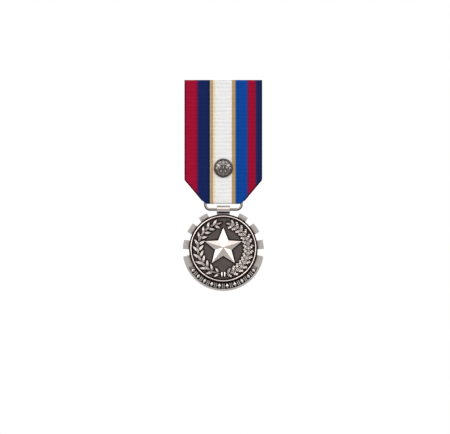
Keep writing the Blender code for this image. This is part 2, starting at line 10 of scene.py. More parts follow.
import bmesh
import bpy
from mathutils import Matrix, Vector


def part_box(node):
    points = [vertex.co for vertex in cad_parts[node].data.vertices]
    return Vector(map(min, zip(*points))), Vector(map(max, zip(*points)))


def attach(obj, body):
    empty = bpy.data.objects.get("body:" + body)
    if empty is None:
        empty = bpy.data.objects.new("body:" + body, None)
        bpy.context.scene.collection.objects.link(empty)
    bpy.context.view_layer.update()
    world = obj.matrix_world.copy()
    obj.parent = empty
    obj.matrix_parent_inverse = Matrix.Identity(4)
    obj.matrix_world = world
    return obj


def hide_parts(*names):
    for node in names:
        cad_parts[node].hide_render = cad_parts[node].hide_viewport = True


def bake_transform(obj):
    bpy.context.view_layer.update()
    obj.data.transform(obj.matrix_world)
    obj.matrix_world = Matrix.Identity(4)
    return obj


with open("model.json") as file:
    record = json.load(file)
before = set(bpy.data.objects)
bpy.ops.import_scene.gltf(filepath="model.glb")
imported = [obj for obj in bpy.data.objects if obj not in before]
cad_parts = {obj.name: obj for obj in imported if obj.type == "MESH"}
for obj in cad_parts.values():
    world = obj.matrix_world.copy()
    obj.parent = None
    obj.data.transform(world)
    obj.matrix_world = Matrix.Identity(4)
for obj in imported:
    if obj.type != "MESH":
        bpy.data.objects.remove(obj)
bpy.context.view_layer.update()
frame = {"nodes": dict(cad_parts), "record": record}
nodes = frame["nodes"]
random.seed(7)

MM = 0.001


def middle(node):
    """Centre of a CAD node's box."""
    low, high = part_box(node)
    return (Vector(low) + Vector(high)) / 2.0


# Places read from the CAD model.
joint_place = {joint["name"]: joint["pos_m"] for joint in frame["record"]["behaviour"]["joints"]}
HANG_Y = joint_place["link_swing"][1]
UPPER_BAR_Z = joint_place["link_swing"][2]
DISC_Z = middle("medallion").z
GEAR_R = (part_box("gear_plate")[1][0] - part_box("gear_plate")[0][0]) / 2.0
GEAR_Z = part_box("gear_plate")[0][2] + GEAR_R
PLATE_FRONT_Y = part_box("gear_plate")[0][1]
RIBBON_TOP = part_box("ribbon")[1][2]
DEVICE_Z = middle("device_badge").z
LUG_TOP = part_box("suspension_lug")[1][2]

# Sizes that follow the CAD model's own.
FIELD_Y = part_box("star")[1][1] + 0.02 * MM  # the medallion's field, which the relief stands on
BAND_FLOOR_Y = PLATE_FRONT_Y + 0.45 * MM
RIM_WIDTH = 0.9 * MM
LOOP_R = 0.9 * MM
FRONT_Y = HANG_Y - LOOP_R  # the ribbon's front layer

# ---------------------------------------------------------------- camera and stage

IMAGE_WIDTH = 450
MM_PER_PIXEL = 0.476
LENS = 200.0
SENSOR = 36.0
VIEW_MIDDLE = (0.8 * MM, -3.0 * MM, -61.2 * MM)  # on the plane where the scale holds
distance = IMAGE_WIDTH * MM_PER_PIXEL * MM * LENS / SENSOR
camera_data = bpy.data.cameras.new("camera")
camera_data.lens = LENS
camera_data.sensor_width = SENSOR
camera_data.clip_start = 0.05
camera_data.clip_end = 20.0
camera = bpy.data.objects.new("camera", camera_data)
camera.location = (VIEW_MIDDLE[0], VIEW_MIDDLE[1] - distance, VIEW_MIDDLE[2])
camera.rotation_euler = (math.radians(90.0), 0.0, 0.0)
bpy.context.scene.collection.objects.link(camera)
bpy.context.scene.camera = camera
bpy.context.scene.view_settings.view_transform = "Standard"
bpy.context.scene.view_settings.look = "None"


LIGHT_AIM = Vector((0.0, 0.0, -0.045))


def area_light(name, place, size, power, colour=(1.0, 1.0, 1.0)):
    """Rectangular soft light turned towards the middle of the object."""
    data = bpy.data.lights.new(name, "AREA")
    data.energy = power
    data.color = colour
    data.shape = "RECTANGLE"
    data.size, data.size_y = size
    light = bpy.data.objects.new(name, data)
    light.location = place
    light.rotation_euler = (LIGHT_AIM - Vector(place)).to_track_quat("-Z", "Y").to_euler()
    bpy.context.scene.collection.objects.link(light)


area_light("key", (-0.53, -0.57, 0.21), (0.68, 0.68), 2.45, (1.0, 0.98, 0.955))
area_light("overhead", (0.04, -0.60, 0.46), (1.15, 0.78), 2.15, (1.0, 0.98, 0.96))
area_light("right", (0.50, -0.60, 0.16), (0.64, 0.64), 1.6, (1.0, 0.985, 0.97))
area_light("rear", (-0.25, 0.62, 0.26), (0.5, 0.5), 2.6)


def studio_world():
    """White backdrop, and a dim surround that lights the object from pale above to dark below."""
    world = bpy.data.worlds.new("studio")
    bpy.context.scene.world = world
    world.use_nodes = True
    tree = world.node_tree
    tree.nodes.clear()
    out = tree.nodes.new("ShaderNodeOutputWorld")
    mix = tree.nodes.new("ShaderNodeMixShader")
    backdrop = tree.nodes.new("ShaderNodeBackground")
    surround = tree.nodes.new("ShaderNodeBackground")
    path = tree.nodes.new("ShaderNodeLightPath")
    coords = tree.nodes.new("ShaderNodeTexCoord")
    split = tree.nodes.new("ShaderNodeSeparateXYZ")
    height = tree.nodes.new("ShaderNodeMapRange")
    ramp = tree.nodes.new("ShaderNodeValToRGB")
    backdrop.inputs["Color"].default_value = (1.0, 1.0, 1.0, 1.0)
    backdrop.inputs["Strength"].default_value = 1.0
    surround.inputs["Strength"].default_value = 0.5
    height.inputs["From Min"].default_value = -1.0
    height.inputs["From Max"].default_value = 1.0
    low, high = ramp.color_ramp.elements
    low.position = 0.15
    low.color = (0.10, 0.095, 0.09, 1.0)
    high.position = 0.62
    high.color = (1.0, 1.0, 1.0, 1.0)
    for source, socket in (
        (coords.outputs["Generated"], split.inputs[0]),
        (split.outputs["Z"], height.inputs["Value"]),
        (height.outputs["Result"], ramp.inputs["Fac"]),
        (ramp.outputs["Color"], surround.inputs["Color"]),
        (path.outputs["Is Camera Ray"], mix.inputs["Fac"]),
        (surround.outputs[0], mix.inputs[1]),
        (backdrop.outputs[0], mix.inputs[2]),
        (mix.outputs[0], out.inputs["Surface"]),
    ):
        tree.links.new(source, socket)


studio_world()

# ---------------------------------------------------------------- material tools


class Nodes:
    """A material's node tree with short calls for the nodes used here.

    Each call that makes a node gives its output socket, so that calls can be nested.
    """

    def __init__(self, name):
        self.mat = bpy.data.materials.new(name)
        self.mat.use_nodes = True
        self.tree = self.mat.node_tree
        self.tree.nodes.clear()
        self.out = self.tree.nodes.new("ShaderNodeOutputMaterial")
        self.shader = self.tree.nodes.new("ShaderNodeBsdfPrincipled")
        self.link(self.shader.outputs[0], self.out.inputs["Surface"])

    def link(self, source, socket):
        self.tree.links.new(source, socket)

    def put(self, value, socket):
        """Link value to the socket if it is another node's output, or else set it there."""
        if hasattr(value, "is_output"):
            self.link(value, socket)
        else:
            socket.default_value = value

    def node(self, kind, **settings):
        made = self.tree.nodes.new(kind)
        for key, value in settings.items():
            setattr(made, key, value)
        return made

    def math(self, operation, a, b=0.0, c=0.0, clamp=False):
        made = self.node("ShaderNodeMath", operation=operation, use_clamp=clamp)
        for value, socket in zip((a, b, c), made.inputs):
            self.put(value, socket)
        return made.outputs[0]

    def coords(self, kind="Object"):
        return self.node("ShaderNodeTexCoord").outputs[kind]

    def split(self, vector):
        made = self.node("ShaderNodeSeparateXYZ")
        self.link(vector, made.inputs[0])
        return made.outputs

    def join(self, x, y, z):
        made = self.node("ShaderNodeCombineXYZ")
        for value, socket in zip((x, y, z), made.inputs):
            self.put(value, socket)
        return made.outputs[0]

    def noise(self, vector, scale, detail=3.0, rough=0.55):
        made = self.node("ShaderNodeTexNoise")
        self.link(vector, made.inputs["Vector"])
        made.inputs["Scale"].default_value = scale
        made.inputs["Detail"].default_value = detail
        made.inputs["Roughness"].default_value = rough
        return made.outputs[0]

    def step(self, value, low, high, out_low=0.0, out_high=1.0):
        """Smooth change from out_low to out_high while value goes from low to high."""
        made = self.node("ShaderNodeMapRange", interpolation_type="SMOOTHSTEP")
        self.put(value, made.inputs["Value"])
        made.inputs["From Min"].default_value = low
        made.inputs["From Max"].default_value = high
        made.inputs["To Min"].default_value = out_low
        made.inputs["To Max"].default_value = out_high
        return made.outputs[0]

    def swing(self, value, size):
        """Signed size times how far value lies from its middle, 0.5."""
        return self.math("MULTIPLY", self.math("SUBTRACT", value, 0.5), size)

    def about(self, value, size, middle):
        """Number around middle that varies by size as value goes from 0 to 1."""
        return self.math("MULTIPLY_ADD", self.math("SUBTRACT", value, 0.5), size, middle)

    def scale(self, colour, amount):
        made = self.node("ShaderNodeVectorMath", operation="SCALE")
        self.link(colour, made.inputs[0])
        self.link(amount, made.inputs["Scale"])
        return made.outputs[0]

    def mix(self, factor, a, b):
        made = self.node("ShaderNodeMix", data_type="RGBA")
        self.put(factor, made.inputs[0])
        for value, socket in ((a, made.inputs[6]), (b, made.inputs[7])):
            if isinstance(value, tuple) and len(value) == 3:
                value = (*value, 1.0)
            self.put(value, socket)
        return made.outputs[2]

    def occlusion(self, reach, samples=8):
        made = self.node("ShaderNodeAmbientOcclusion", samples=samples)
        made.inputs["Distance"].default_value = reach
        return made.outputs["AO"]

    def bump(self, height, strength, distance):
        made = self.node("ShaderNodeBump")
        made.inputs["Strength"].default_value = strength
        made.inputs["Distance"].default_value = distance
        self.link(height, made.inputs["Height"])
        self.link(made.outputs[0], self.shader.inputs["Normal"])


def silver(name, bright, dark, rough, grain=0.3, grain_size=5200.0, mask=None, reach=0.9 * MM,
           keep=(0.35, 0.95), dark_rough=0.5, cloud_size=420.0, blotch=0.3):
    """Silver darkened where it is shut in: the oxide in its hollows, and painted shade beside
    raised parts.

    reach is how far off a neighbour still shades a spot, and keep is the openness where the metal
    goes from all dark to all bright. Clouds of cloud_size vary that by blotch. A mask takes the
    node tree and gives a number that brings the bright metal down. grain sets the fine texture.
    """
    n = Nodes(name)
    n.shader.inputs["Metallic"].default_value = 1.0
    where = n.coords()
    # Painted shade in part: ambient occlusion darkens the metal beside raised parts as well as in
    # its oxidised hollows.
    open_and_unshaded = n.step(n.occlusion(reach), *keep)
    cloud = n.noise(where, cloud_size, 4.0)
    fine = n.noise(where, grain_size, 2.0)
    amount = n.math("ADD", open_and_unshaded, n.swing(cloud, blotch), clamp=True)
    if mask is not None:
        amount = n.math("MULTIPLY", amount, mask(n), clamp=True)
    colour = n.scale(n.mix(amount, dark, bright), n.about(fine, 0.25 * grain, 1.0))
    n.link(colour, n.shader.inputs["Base Color"])
    tarnish_and_shade = n.math("SUBTRACT", 1.0, amount)
    roughness = n.math(
        "ADD", n.about(cloud, 0.18, rough), n.math("MULTIPLY", tarnish_and_shade, dark_rough - rough)
    )
    n.link(roughness, n.shader.inputs["Roughness"])
    n.bump(fine, grain, 0.02 * MM)
    return n.mat


def assign(material, *names):
    """Give CAD nodes one material."""
    for name in names:
        obj = nodes[name]
        obj.data.materials.clear()
        obj.data.materials.append(material)


# ---------------------------------------------------------------- geometry tools


def new_piece(name, verts, faces, material, sharp_angle=None):
    """Mesh piece with outward faces, flat or smooth up to a sharp angle in degrees."""
    mesh = bpy.data.meshes.new(name)
    mesh.from_pydata([tuple(v) for v in verts], [], faces)
    mesh.validate()
    shape = bmesh.new()
    shape.from_mesh(mesh)
    bmesh.ops.recalc_face_normals(shape, faces=shape.faces)
    shape.to_mesh(mesh)
    shape.free()
    mesh.materials.append(material)
    if sharp_angle is not None:
        mesh.shade_smooth()
        mesh.set_sharp_from_angle(angle=math.radians(sharp_angle))
    obj = bpy.data.objects.new(name, mesh)
    bpy.context.scene.collection.objects.link(obj)
    return obj


def polar(radius, degrees, centre_z=DISC_Z):
    """Place (x, z) at an angle from the top, turning towards +X."""
    a = math.radians(degrees)
    return radius * math.sin(a), centre_z + radius * math.cos(a)


def run_and_side(heading):
    """Unit (x, z) directions along a heading in degrees and across it."""
    a = math.radians(heading)
    run = Vector((math.sin(a), math.cos(a)))
    return run, Vector((run.y, -run.x))


def tube(verts, faces, points, radius, sides=8):
    """Round thread along points, with closed ends, added to verts and faces."""
    first = len(verts)
    count = len(points)
    for i, p in enumerate(points):
        here = Vector(p)
        ahead = Vector(points[min(i + 1, count - 1)])
        behind = Vector(points[max(i - 1, 0)])
        run = (ahead - behind).normalized()
        side = run.cross(Vector((0.31, 0.85, 0.43))).normalized()
        up = side.cross(run)
        size = radius * (0.55 if i in (0, count - 1) else 1.0)
        for k in range(sides):
            a = 2.0 * math.pi * k / sides
            verts.append(here + (side * math.cos(a) + up * math.sin(a)) * size)
    for i in range(count - 1):
        row = first + i * sides
        for k in range(sides):
            m = (k + 1) % sides
            faces.append((row + k, row + m, row + sides + m, row + sides + k))
    faces.append(tuple(first + k for k in reversed(range(sides))))
    faces.append(tuple(first + (count - 1) * sides + k for k in range(sides)))


# ---------------------------------------------------------------- ribbon

HALF = 18.5 * MM
CLOTH = 0.34 * MM  # thickness
RIB = 0.64 * MM  # spacing of the weft ribs
RIB_HEIGHT = 0.045 * MM
ROWS_PER_RIB = 5
WARP = 0.24 * MM  # spacing of the warp threads

# The hem is turned over backwards at the top, and the lower corners are turned over the same way.
FOLD_R = 0.26 * MM
HEM = 8.5 * MM
HEM_Y = FRONT_Y + 2.0 * FOLD_R
FOLD_Z = RIBBON_TOP - 0.2 * MM - FOLD_R  # centre of the top fold

# Below the taper the cloth goes round the link and up behind, where its tail is sewn down.
TAPER_TOP = -43.1 * MM
TAPER_SLOPE = 0.836  # width lost at each side for each unit down
FLAP_END = -53.4 * MM
FOLD_BACK = 0.3 * MM
LOOP_HALF = 7.85 * MM
LOOP_TOP = -54.45 * MM
TAIL_Y = FRONT_Y + 1.044 * MM
TAIL_RISE = 3.2 * MM
TAIL_TOP = -45.0 * MM
RUN_TO_TAPER = HEM + math.pi * FOLD_R + (FOLD_Z - TAPER_TOP)  # cloth from its end to the taper


def half_width(z):
    """Half of the front's width at a height; a short steep step leads to the loop."""
    if z > TAPER_TOP:
        return HALF
    taper = HALF - TAPER_SLOPE * (TAPER_TOP - z)
    if z < LOOP_TOP:
        taper = min(taper, LOOP_HALF + max(0.0, 1.0 * MM + (z - LOOP_TOP) * 6.0))
    return max(taper, LOOP_HALF)


def ribbon_line():
    """The ribbon's middle line from hem to tail as (y, z, half width)."""
    line = []
    steps = 12
    for i in range(steps):
        line.append((HEM_Y, FOLD_Z - HEM + HEM * i / steps, HALF))
    steps = 8
    for i in range(steps + 1):
        a = math.pi * i / steps
        line.append((FRONT_Y + FOLD_R + FOLD_R * math.cos(a), FOLD_Z + FOLD_R * math.sin(a), HALF))
    steps = 58
    for i in range(1, steps + 1):
        line.append((FRONT_Y, FOLD_Z + (TAPER_TOP - FOLD_Z) * i / steps, HALF))
    steps = 18
    for i in range(1, steps + 1):
        z = TAPER_TOP + (UPPER_BAR_Z - TAPER_TOP) * i / steps
        line.append((FRONT_Y, z, half_width(z)))
    steps = 16
    for i in range(1, steps + 1):
        a = math.pi * i / steps
        z = UPPER_BAR_Z - LOOP_R * math.sin(a)
        half = half_width(z) if i < steps / 2 else LOOP_HALF
        line.append((HANG_Y - LOOP_R * math.cos(a), z, half))
    for share in (0.12, 0.3, 0.5, 0.7, 0.88, 1.0):
        eased = share * share * (3.0 - 2.0 * share)
        y = HANG_Y + LOOP_R + (TAIL_Y - HANG_Y - LOOP_R) * eased
        line.append((y, UPPER_BAR_Z + TAIL_RISE * share, LOOP_HALF))
    steps = 8
    tail_low = UPPER_BAR_Z + TAIL_RISE
    for i in range(1, steps + 1):
        line.append((TAIL_Y, tail_low + (TAIL_TOP - tail_low) * i / steps, LOOP_HALF))
    return line


def ribbon_rows():
    """The middle line cut into even steps, a few to each rib, as (y, z, normal, half, run)."""
    line = ribbon_line()
    step = RIB / ROWS_PER_RIB
    rows = []
    run = 0.0
    for (y0, z0, half0), (y1, z1, half1) in zip(line, line[1:]):
        length = math.hypot(y1 - y0, z1 - z0)
        if length < 1e-9:
            continue
        normal = ((z1 - z0) / length, (y0 - y1) / length)
        while len(rows) * step <= run + length:
            share = (len(rows) * step - run) / length
            place = (y0 + (y1 - y0) * share, z0 + (z1 - z0) * share)
            rows.append((*place, normal, half0 + (half1 - half0) * share, len(rows) * step))
        run += length
    return rows


def wave(x, z):
    """Slight unevenness of hanging cloth, none at its sewn top and at its folded corners."""
    down = min(max((RIBBON_TOP - 3.0 * MM - z) / (12.0 * MM), 0.0), 1.0)
    up = min(max((z - TAPER_TOP) / (9.0 * MM), 0.0), 1.0)
    sway = 0.05 * MM
    return (down * up) * (
        sway * math.sin(x * 210.0 + 0.6)
        + sway * math.sin(z * 150.0 + x * 60.0)
        - sway * math.cos(x * 95.0 - z * 40.0)
    )


def rib(x, run):
    """Height of the weft ribs at a place on the cloth."""
    uneven = 1.0 + 0.15 * math.sin(x * 900.0 + run * 5100.0)
    return RIB_HEIGHT * uneven * math.cos(2.0 * math.pi * run / RIB)


def ribbon_shape():
    """The folded cloth as one sheet; its UVs are the places on the cloth cut flat."""
    shape = bmesh.new()
    flat = shape.loops.layers.uv.new("flat")
    spot = {}

    def vert(place, across, along):
        made = shape.verts.new(place)
        spot[made] = (across, along)
        return made

    rows = ribbon_rows()
    across = 24
    turn_steps = 6
    flap_steps = 8
    grid = []
    for y, z, normal, half, run in rows:
        row = []
        for k in range(across + 1):
            x = half * (2.0 * k / across - 1.0)
            off = rib(x, run)
            sway = wave(x, z) if y < HEM_Y + 0.1 * MM else 0.0
            row.append(vert((x, y + normal[0] * off + sway, z + normal[1] * off), x, run))
        grid.append(row)
    quads = []
    for upper, lower in zip(grid, grid[1:]):
        for k in range(across):
            quads.append((upper[k], lower[k], lower[k + 1], upper[k + 1]))

    folded = [
        i
        for i, (y, z, normal, half, run) in enumerate(rows)
        if abs(y - FRONT_Y) < 1e-6 and FLAP_END < z < TAPER_TOP - 0.2 * MM
    ]
    # A corner's cloth is mirrored about the crease, which runs down and inwards.
    crease = Vector((-TAPER_SLOPE, -1.0)).normalized()
    back = (2.0 * crease.x * crease.x - 1.0, 2.0 * crease.x * crease.y)
    for side, column in ((1.0, across), (-1.0, 0)):
        folds = []
        for i in folded:
            y, z, normal, half, run = rows[i]
            row = [grid[i][column]]
            for k in range(1, turn_steps + 1):
                a = math.pi * k / turn_steps
                out = FOLD_R * math.sin(a)
                off = rib(side * (half + FOLD_R * a), run) * math.cos(a)
                x = side * (half - crease.y * out - FOLD_BACK * k / turn_steps)
                depth = y + FOLD_R * (1.0 - math.cos(a)) - off
                place = (x, depth, z + crease.x * out)
                row.append(vert(place, side * (half + FOLD_R * a), run))
            length = max(HALF - half, 0.2 * MM)
            for k in range(1, flap_steps + 1):
                reach = length * k / flap_steps
                off = rib(side * (half + reach), run)
                x = side * (half - FOLD_BACK + back[0] * reach)
                place = (x, y + 2.0 * FOLD_R + off, z + back[1] * reach)
                row.append(vert(place, side * (half + reach), run))
            folds.append(row)
        for upper, lower in zip(folds, folds[1:]):
            for k in range(len(upper) - 1):
                quads.append((upper[k], lower[k], lower[k + 1], upper[k + 1]))
    for quad in quads:
        face = shape.faces.new(quad)
        face.smooth = True
        for loop in face.loops:
            loop[flat].uv = spot[loop.vert]
    bmesh.ops.recalc_face_normals(shape, faces=shape.faces)
    mesh = bpy.data.meshes.new("woven_ribbon")
    shape.to_mesh(mesh)
    shape.free()
    obj = bpy.data.objects.new("woven_ribbon", mesh)
    bpy.context.scene.collection.objects.link(obj)
    thick = obj.modifiers.new("Thickness", "SOLIDIFY")
    thick.thickness = CLOTH
    thick.offset = 0.0
    return obj


def ribbon_material():
    """Ribbed weave: lengthwise stripes by the cloth's own width, weft ribs by its length."""
    n = Nodes("ribbed_silk")
    uv = n.node("ShaderNodeUVMap", uv_map="flat")
    u, v, _ = n.split(uv.outputs[0])
    place = n.join(u, v, 0.0)
    # The warp wanders a little, so no stripe has a ruled edge.
    wander = n.swing(n.noise(place, 900.0, 2.0), 0.16 * MM)
    warp_u = n.math("ADD", u, wander)
    share = n.math("MULTIPLY_ADD", warp_u, 1.0 / (2.0 * HALF), 0.5)
    ramp = n.node("ShaderNodeValToRGB")
    n.link(share, ramp.inputs["Fac"])
    # Warp colours by distance from the left edge, in millimetres; where two silks meet, their
    # threads mingle over about a millimetre.
    crimson = (0.40, 0.0045, 0.036)
    dark_red = (0.145, 0.004, 0.02)
    plum = (0.11, 0.008, 0.075)
    navy = (0.0075, 0.019, 0.115)
    deep = (0.006, 0.016, 0.075)
    shadow = (0.004, 0.009, 0.032)
    tan = (0.58, 0.49, 0.37)
    gold = (0.50, 0.31, 0.13)
    cream = (0.93, 0.80, 0.60)
    white = (0.95, 0.955, 0.955)
    khaki = (0.50, 0.38, 0.17)
    brown = (0.22, 0.20, 0.17)
    royal = (0.0035, 0.066, 0.36)
    violet = (0.13, 0.012, 0.11)
    red = (0.39, 0.003, 0.029)
    ink = (0.010, 0.020, 0.105)
    bands = (
        (0.0, dark_red),
        (0.45, dark_red),
        (0.95, crimson),
        (5.3, crimson),
        (6.3, plum),
        (6.9, navy),
        (11.2, navy),
        (11.7, shadow),
        (12.05, shadow),
        (12.3, tan),
        (12.65, tan),
        (12.95, gold),
        (13.4, gold),
        (13.75, cream),
        (14.4, cream),
        (15.0, white),
        (22.35, white),
        (22.75, gold),
        (23.9, khaki),
        (24.3, brown),
        (24.6, royal),
        (29.4, royal),
        (30.3, violet),
        (31.0, red),
        (33.3, red),
        (34.3, ink),
        (36.2, ink),
        (37.0, deep),
    )
    stops = ramp.color_ramp
    stops.interpolation = "LINEAR"
    stops.elements[0].position = 0.0
    stops.elements[0].color = (*bands[0][1], 1.0)
    stops.elements[1].position = 1.0
    stops.elements[1].color = (*bands[-1][1], 1.0)
    for at, colour in bands[1:-1]:
        made = stops.elements.new(at * MM / (2.0 * HALF))
        made.color = (*colour, 1.0)
    # Ribs across the ribbon and warp threads over them.
    ridge = n.math("COSINE", n.math("MULTIPLY", v, 2.0 * math.pi / RIB))
    warp = n.math("SINE", n.math("MULTIPLY", warp_u, 2.0 * math.pi / WARP))
    fuzz = n.noise(place, 5200.0, 3.0)
    streak = n.join(n.math("MULTIPLY", u, 90.0), n.math("MULTIPLY", v, 1500.0), 0.0)
    slub = n.noise(streak, 1.0, 2.0)
    # Along the folded corners a painted shade line darkens the crease.
    fold = n.math("MULTIPLY", n.math("SUBTRACT", v, RUN_TO_TAPER), TAPER_SLOPE)
    off = n.math("SUBTRACT", n.math("ABSOLUTE", u), n.math("SUBTRACT", HALF, fold))
    edge = n.math(
        "MULTIPLY",
        n.step(off, -0.75 * MM, -0.2 * MM),
        n.step(off, 0.6 * MM, 1.1 * MM, 1.0, 0.0),
    )
    length = n.math(
        "MULTIPLY",
        n.step(v, RUN_TO_TAPER, RUN_TO_TAPER + MM),
        n.step(v, RUN_TO_TAPER + 9.5 * MM, RUN_TO_TAPER + 10.5 * MM, 1.0, 0.0),
    )
    crease = n.math("MULTIPLY", edge, length)
    # Painted shade: darker in the rib valleys and between the warp threads; slub and fuzz are the
    # yarn's own tone.
    shade = n.step(ridge, -1.0, 0.3, 0.5, 1.0)
    for factor in (
        n.step(warp, -1.0, 0.3, 0.86, 1.0),
        n.math("MULTIPLY_ADD", slub, 0.24, 0.95),
        n.math("MULTIPLY_ADD", fuzz, 0.18, 0.92),
        # Painted shade in the folds and beside nearby parts.
        n.step(n.occlusion(0.7 * MM, 6), 0.15, 0.8, 0.55, 1.0),
        n.math("MULTIPLY_ADD", crease, -0.8, 1.0),
    ):
        shade = n.math("MULTIPLY", shade, factor)
    n.link(n.scale(ramp.outputs["Color"], shade), n.shader.inputs["Base Color"])
    n.shader.inputs["Roughness"].default_value = 0.7
    n.shader.inputs["Specular IOR Level"].default_value = 0.06
    n.shader.inputs["Sheen Weight"].default_value = 0.02
    n.shader.inputs["Sheen Roughness"].default_value = 0.4
    height = n.math("ADD", n.math("MULTIPLY", ridge, 0.5), n.math("MULTIPLY", warp, 0.35))
    height = n.math("ADD", height, n.math("MULTIPLY", fuzz, 0.5))
    n.bump(height, 0.55, 0.05 * MM)
    return n.mat


ribbon = ribbon_shape()
ribbon.data.materials.append(ribbon_material())
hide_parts("ribbon")
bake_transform(ribbon)

# ---------------------------------------------------------------- metal materials


# Dark oxide of the hollows; the occlusion and the masks also use it for painted shade.
OXIDE_AND_SHADE = (0.020, 0.014, 0.012)


def radial(n, centre_z=DISC_Z):
    """Distance from an axis along Y, and the place along it."""
    x, y, z = n.split(n.coords())
    dz = n.math("SUBTRACT", z, centre_z)
    square = n.math("ADD", n.math("MULTIPLY", x, x), n.math("MULTIPLY", dz, dz))
    return n.math("SQRT", square), y


def ring_mask(n):
    """Bright on the raised ring, dark on the field and in the outer channel."""
    r = radial(n)[0]
    ring = n.math(
        "MULTIPLY",
        n.step(r, 15.04 * MM, 15.16 * MM),
        n.step(r, 15.6 * MM, 15.72 * MM, 1.0, 0.0),
    )
    field = n.step(r, 14.4 * MM, 14.8 * MM, 0.15, 0.0)
    return n.math("ADD", ring, field, clamp=True)


def plate_mask(n):
    """The sunken band's floor is oxidised; the rest of the plate is open satin, with painted shade
    towards the raised disc.
    """
    y = n.split(n.coords())[1]
    facing = n.split(n.coords("Normal"))[1]
    floor = n.math(
        "MULTIPLY",
        n.step(y, PLATE_FRONT_Y + 0.18 * MM, PLATE_FRONT_Y + 0.30 * MM),
        n.step(facing, -0.9, -0.6, 1.0, 0.0),
    )
    z = n.split(n.coords())[2]
    fade = n.step(z, -87.5 * MM, -84.5 * MM, 1.0, 0.4)
    # Painted shade: the plate is darker towards the raised disc.
    shade_by_disc = n.step(radial(n)[0], 16.2 * MM, 18.6 * MM, 0.72, 1.0)
    return n.math("MULTIPLY", shade_by_disc, n.math("SUBTRACT", 1.0, n.math("MULTIPLY", floor, fade)))


def lug_top_shade_mask(n):
    """Painted shade: a dark line along the top edge of the barrel."""
    z = n.split(n.coords())[2]
    return n.step(z, LUG_TOP - 0.42 * MM, LUG_TOP - 0.26 * MM, 1.0, 0.12)


def wire_underside_shade_mask(n):
    """Painted shade: the wire is kept bright above and darkened on its underside, away from the
    light.
    """
    up = n.split(n.coords("Normal"))[2]
    return n.step(up, -0.35, 0.3, 0.04, 1.0)


def device_rim_shade_mask(n):
    """Painted shade: the device is darkened at its rim."""
    return n.step(radial(n, DEVICE_Z)[0], 3.8 * MM, 4.1 * MM, 1.0, 0.22)


def height_mask(low, high):
    """Mask of a relief: bright on its tops, dark towards the field it stands on."""
    return lambda n: n.step(n.split(n.coords())[1], FIELD_Y - low, FIELD_Y - high)


# Tight, strong occlusion: painted shade turns the field near black beside the star and the wreath.
medallion_silver = silver(
    "medallion_silver", (0.93, 0.80, 0.765), (0.012, 0.008, 0.007), rough=0.22, grain=0.5,
    grain_size=4200.0, mask=ring_mask, reach=1.1 * MM, keep=(0.84, 0.985), dark_rough=0.42,
    cloud_size=900.0, blotch=0.4,
)
satin_silver = silver(
    "satin_silver", (0.75, 0.694, 0.672), OXIDE_AND_SHADE, rough=0.34, grain=0.6, mask=plate_mask,
    reach=0.6 * MM, keep=(0.3, 0.97), cloud_size=1500.0, blotch=0.4,
)
lug_silver = silver(
    "lug_silver", (0.80, 0.735, 0.71), (0.075, 0.056, 0.052), rough=0.24, mask=lug_top_shade_mask,
    reach=0.8 * MM, keep=(0.05, 0.9),
)
polished_star = silver(
    "polished_star", (0.80, 0.715, 0.67), (0.05, 0.038, 0.034), rough=0.22, grain=0.5,
    reach=0.5 * MM, keep=(0.3, 1.06), cloud_size=1300.0, blotch=0.75,
)
polished_wire = silver(
    "polished_wire", (0.5, 0.457, 0.437), OXIDE_AND_SHADE, rough=0.2, grain=0.15, grain_size=7000.0,
    mask=wire_underside_shade_mask, keep=(0.2, 0.9),
)
burnished_device = silver(
    "burnished_device", (0.46, 0.415, 0.39), (0.004, 0.0032, 0.003), rough=0.2, grain=0.35,
    grain_size=6000.0, mask=device_rim_shade_mask, reach=1.1 * MM, keep=(0.80, 1.06), dark_rough=0.4,
    cloud_size=1200.0, blotch=0.6,
)
leaf_silver = silver(
    "leaf_silver", (0.97, 0.885, 0.85), (0.008, 0.0055, 0.005), rough=0.22, grain=0.4,
    grain_size=5000.0, mask=height_mask(0.22 * MM, 0.60 * MM), reach=0.5 * MM, cloud_size=1500.0,
    blotch=0.8,
)
tie_silver = silver(
    "tie_silver", (0.93, 0.85, 0.81), OXIDE_AND_SHADE, rough=0.2, grain=0.2, grain_size=6000.0,
    mask=height_mask(0.1 * MM, 0.3 * MM), reach=0.3 * MM, keep=(0.2, 0.8),
)
frieze_silver = silver(
    "frieze_silver", (0.60, 0.555, 0.535), OXIDE_AND_SHADE, rough=0.3, grain=0.4, grain_size=6000.0,
    reach=0.5 * MM, keep=(0.4, 0.95), cloud_size=1500.0, blotch=0.7,
)
brushed_nickel = silver(
    "brushed_nickel", (0.62, 0.60, 0.56), (0.06, 0.05, 0.045), rough=0.3, grain=0.5
)
bright_steel = silver(
    "bright_steel", (0.74, 0.74, 0.75), (0.08, 0.08, 0.08), rough=0.18, grain=0.15,
    grain_size=6500.0,
)
assign(medallion_silver, "medallion")
assign(satin_silver, "gear_plate")
assign(lug_silver, "suspension_lug")
assign(polished_star, "star")
assign(polished_wire, "hanger_link")
assign(burnished_device, "device_badge", "device_prong_left", "device_prong_right")
assign(brushed_nickel, "brooch_plate", "pin_joint_bracket", "pin_rivet", "catch_base")
assign(bright_steel, "brooch_pin", "catch_lock")

# ---------------------------------------------------------------- wreath

WREATH_R = 12.0 * MM
WREATH_START, WREATH_END = 187.0, 346.0
# Places across a leaf, as shares of its half width, with an upright wall at each edge.
EDGE_SHARES = (-1.0, -0.97, -0.7, -0.4, -0.14, 0.0, 0.14, 0.4, 0.7, 0.97, 1.0)
# Leaves of a branch: how many in a row, their length and width, and its rows as (flare from the
# stem in degrees, shift along the wreath in degrees, size, height in millimetres).
LAUREL = (
    11, 4.3 * MM, 1.6 * MM,
    ((-30.0, 0.0, 1.0, 0.6), (42.0, 1.5, 1.0, 0.6), (3.0, 7.0, 0.95, 0.82)),
)
OAK = (
    14, 3.5 * MM, 2.15 * MM,
    ((-36.0, 0.0, 1.0, 0.62), (48.0, 1.0, 1.0, 0.62), (6.0, 6.0, 0.85, 0.85)),
)


